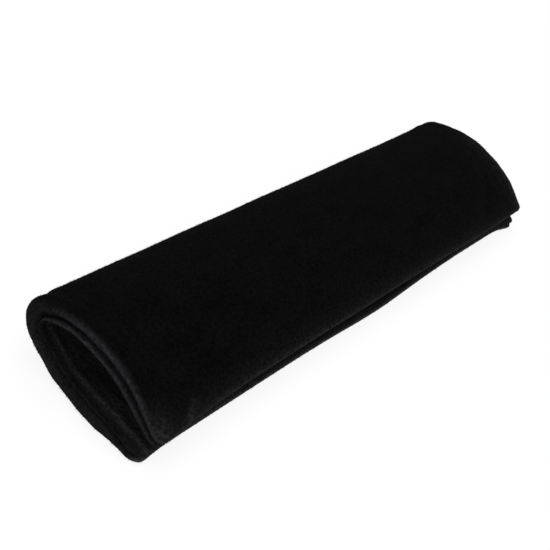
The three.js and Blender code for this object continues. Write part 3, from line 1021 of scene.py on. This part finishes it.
class PAD_OT_topstitch(bpy.types.Operator):
    """Sews the row of topstitches along each end, on both faces"""

    bl_idname = "pad.topstitch"
    bl_label = "Hem topstitches"

    def execute(self, context):
        scene = context.scene
        sizes = scene.pad_sizes
        section = Section(sizes, scene.pad_folds)
        deselect_all()
        bpy.ops.mesh.primitive_cylinder_add(
            vertices=6, radius=sizes.thread / 2, depth=sizes.stitch * 0.55,
            end_fill_type="NGON", rotation=(math.pi / 2, 0, 0),
        )
        master = bpy.context.object
        bpy.ops.object.transform_apply(location=True, rotation=True, scale=True)
        edit(master, (bpy.ops.mesh.select_all, {"action": "SELECT"}))
        # Both ends of a stitch dive into the cloth at its needle holes.
        for polygon in master.data.polygons:
            polygon.select = len(polygon.vertices) == 6
        edit(master, (bpy.ops.mesh.select_mode, {"type": "FACE"}),
             (bpy.ops.mesh.extrude_region_move, {"TRANSFORM_OT_translate": {"value": (0, 0, 0)}}))
        points = coordinates(master)
        tips = np.arange(len(points)) >= 12  # the extruded ends come after the cylinder's own 12
        points[tips, 1] *= 1.7
        points[tips, 0] *= 0.6
        points[tips, 2] = points[tips, 2] * 0.6 - 0.45 * MM
        place(master, points)
        edge = section.girth / 2 - sizes.seam_roll
        stitches = round(2 * edge / sizes.stitch)
        copies = []
        for source, side in (("plush_cover", 1), ("plush_lining", -1)):
            skin = bpy.data.objects[source]
            for end in (-1, 1):
                along = end * (sizes.pad_length / 2 - sizes.hem_inset)
                for k in range(1, stitches - 1):
                    girth = -edge + (k + 0.5) * 2 * edge / stitches
                    # The stitch's middle in the wall, a point further round the girth and one
                    # further out
                    flat = np.array([
                        [along, girth, 0.0], [along, girth + 0.5 * MM, 0.0],
                        [along, girth, side * 3.0 * MM],
                    ])
                    here, on, out = section.relax(flat, section.fold(flat))
                    found, spot, _, _ = skin.closest_point_on_mesh(Vector(out))
                    forward = Vector(on - here).normalized()
                    up = Vector(out - here)
                    up = (up - forward * up.dot(forward)).normalized()
                    across = forward.cross(up)
                    copy = master.copy()
                    copy.data = master.data.copy()
                    scene.collection.objects.link(copy)
                    turn = Matrix((across, forward, up)).transposed().to_4x4()
                    copy.data.transform(Matrix.Translation(spot - up * THREAD_SINK) @ turn)
                    copies.append(copy)
        deselect_all()
        for copy in copies:
            copy.select_set(True)
        bpy.context.view_layer.objects.active = copies[0]
        bpy.ops.object.join()
        bpy.data.objects.remove(master)
        piece = copies[0]
        activate(piece)
        bpy.ops.object.shade_smooth()
        finish_piece(piece, "hem_stitches", thread_material(scene.pad_finish), [])
        return {"FINISHED"}


FLOOR_PLAIN = 0.86  # how much of the floor is plain white to the camera, the rest being shaded
WORLD_LIGHT = 0.75  # the world's level on the pad, while the camera sees plain white

# Each lamp's name, place and aim in metres, the side of its square in metres and its power in watts
LAMPS = (
    ("overhead_softbox", (0.0, 0.1, 1.1), (0, 0, 0), 0.9, 5.5),
    ("front_softbox", (-0.9, -0.5, 0.5), (0, 0, 0.02), 0.6, 4.0),
)


def stage_floor(stage, finish):
    deselect_all()
    bpy.ops.mesh.primitive_plane_add(size=stage.floor_size, location=(0, 0, 0))
    floor = bpy.context.object
    floor.name = "floor"
    # Matt painted board. Straight to the camera it shows mostly as plain white, and keeps a part
    # of its own shading, so that the soft shadow under the pad still shows.
    material, shader = new_material("painted_board_matt", Roughness=1.0, Specular_IOR_Level=0.0,
                                    Base_Color=linear(finish.floor))
    path = add_node(material, "ShaderNodeLightPath")
    seen = path.outputs["Is Camera Ray"]
    for ray in ("Is Glossy Ray", "Is Transmission Ray"):
        seen = add_node(material, "ShaderNodeMath", {
            0: seen, 1: path.outputs[ray],
        }, operation="MAXIMUM").outputs[0]
    share = add_node(material, "ShaderNodeMath", {0: seen, 1: FLOOR_PLAIN}, operation="MULTIPLY")
    white = add_node(material, "ShaderNodeEmission", {"Strength": 1.0})
    mix = add_node(material, "ShaderNodeMixShader", {
        0: share.outputs[0], 1: shader.outputs["BSDF"], 2: white.outputs[0],
    })
    output = material.node_tree.nodes["Material Output"]
    material.node_tree.links.new(mix.outputs[0], output.inputs["Surface"])
    floor.data.materials.append(material)


class PAD_OT_stage(bpy.types.Operator):
    """Sets up the floor, the studio light and the camera"""

    bl_idname = "pad.stage"
    bl_label = "Stage"

    def execute(self, context):
        scene = context.scene
        stage = scene.pad_stage
        scene.view_settings.view_transform = "Standard"
        stage_floor(stage, scene.pad_finish)

        world = bpy.data.worlds.new("studio")
        scene.world = world
        world.use_nodes = True
        tree = world.node_tree
        background = tree.nodes["Background"]
        path = tree.nodes.new("ShaderNodeLightPath")
        level = tree.nodes.new("ShaderNodeMapRange")
        level.inputs["To Min"].default_value = WORLD_LIGHT
        level.inputs["To Max"].default_value = 1.0
        tree.links.new(path.outputs["Is Camera Ray"], level.inputs["Value"])
        tree.links.new(level.outputs["Result"], background.inputs["Strength"])
        background.inputs["Color"].default_value = (1, 1, 1, 1)

        for name, spot, target, size, power in LAMPS:
            deselect_all()
            bpy.ops.object.light_add(type="AREA", location=spot)
            lamp = bpy.context.object
            lamp.name = name
            lamp.data.size = size
            lamp.data.energy = power
            aim = Vector(target) - Vector(spot)
            lamp.rotation_euler = aim.to_track_quat("-Z", "Y").to_euler()

        # The camera turns round a point on the sleeve and is aimed a little beside it.
        a, e, roll = stage.azimuth, stage.elevation, stage.roll
        back = Vector((-math.cos(a) * math.cos(e), -math.sin(a) * math.cos(e), math.sin(e)))
        level_right = Vector((0, 0, 1)).cross(back).normalized()
        level_up = back.cross(level_right)
        right = math.cos(roll) * level_right + math.sin(roll) * level_up
        up = back.cross(right)
        section = Section(scene.pad_sizes, scene.pad_folds)
        across = section.shift + scene.pad_folds.flat_run
        centre = Vector((section.along_shift, across, stage.aim_height))
        spot = centre + right * stage.aim_right + up * stage.aim_up + back * stage.distance
        deselect_all()
        bpy.ops.object.camera_add(location=spot)
        camera = bpy.context.object
        camera.name = "photo_camera"
        turn = Matrix((right, up, back)).transposed().to_4x4()
        camera.matrix_world = Matrix.Translation(spot) @ turn
        camera.data.lens = stage.focal
        camera.data.sensor_width = 36
        camera.data.clip_start = 0.01
        scene.camera = camera
        return {"FINISHED"}


class PAD_PT_sidebar(bpy.types.Panel):
    """Buttons for each piece of the shoulder pad"""

    bl_idname = "PAD_PT_sidebar"
    bl_label = "Shoulder Pad"
    bl_space_type = "VIEW_3D"
    bl_region_type = "UI"
    bl_category = "Shoulder Pad"

    def draw(self, context):
        for operator in OPERATORS:
            self.layout.operator(operator.bl_idname)
        for group in GROUPS:
            box = self.layout.box()
            settings = getattr(context.scene, group)
            for name in settings.bl_rna.properties.keys():
                if name not in {"rna_type", "name"}:
                    box.prop(settings, name)


OPERATORS = (
    PAD_OT_stage, PAD_OT_plush_panel, PAD_OT_foam, PAD_OT_tapes, PAD_OT_topstitch, PAD_OT_pile,
)
GROUPS = {
    "pad_sizes": PadSizes, "pad_folds": FoldSizes, "pad_finish": PadFinish, "pad_stage": PadStage,
}


def register():
    for group in (*GROUPS.values(), *OPERATORS, PAD_PT_sidebar):
        bpy.utils.register_class(group)
    for name, group in GROUPS.items():
        setattr(bpy.types.Scene, name, bpy.props.PointerProperty(type=group))


def unregister():
    for name in GROUPS:
        delattr(bpy.types.Scene, name)
    for group in reversed((*GROUPS.values(), *OPERATORS, PAD_PT_sidebar)):
        bpy.utils.unregister_class(group)


def main():
    register()
    bpy.ops.pad.stage()
    bpy.ops.pad.plush_panel()
    bpy.ops.pad.foam()
    bpy.ops.pad.tapes()
    bpy.ops.pad.topstitch()
    bpy.ops.pad.pile()


if __name__ == "__main__":
    main()
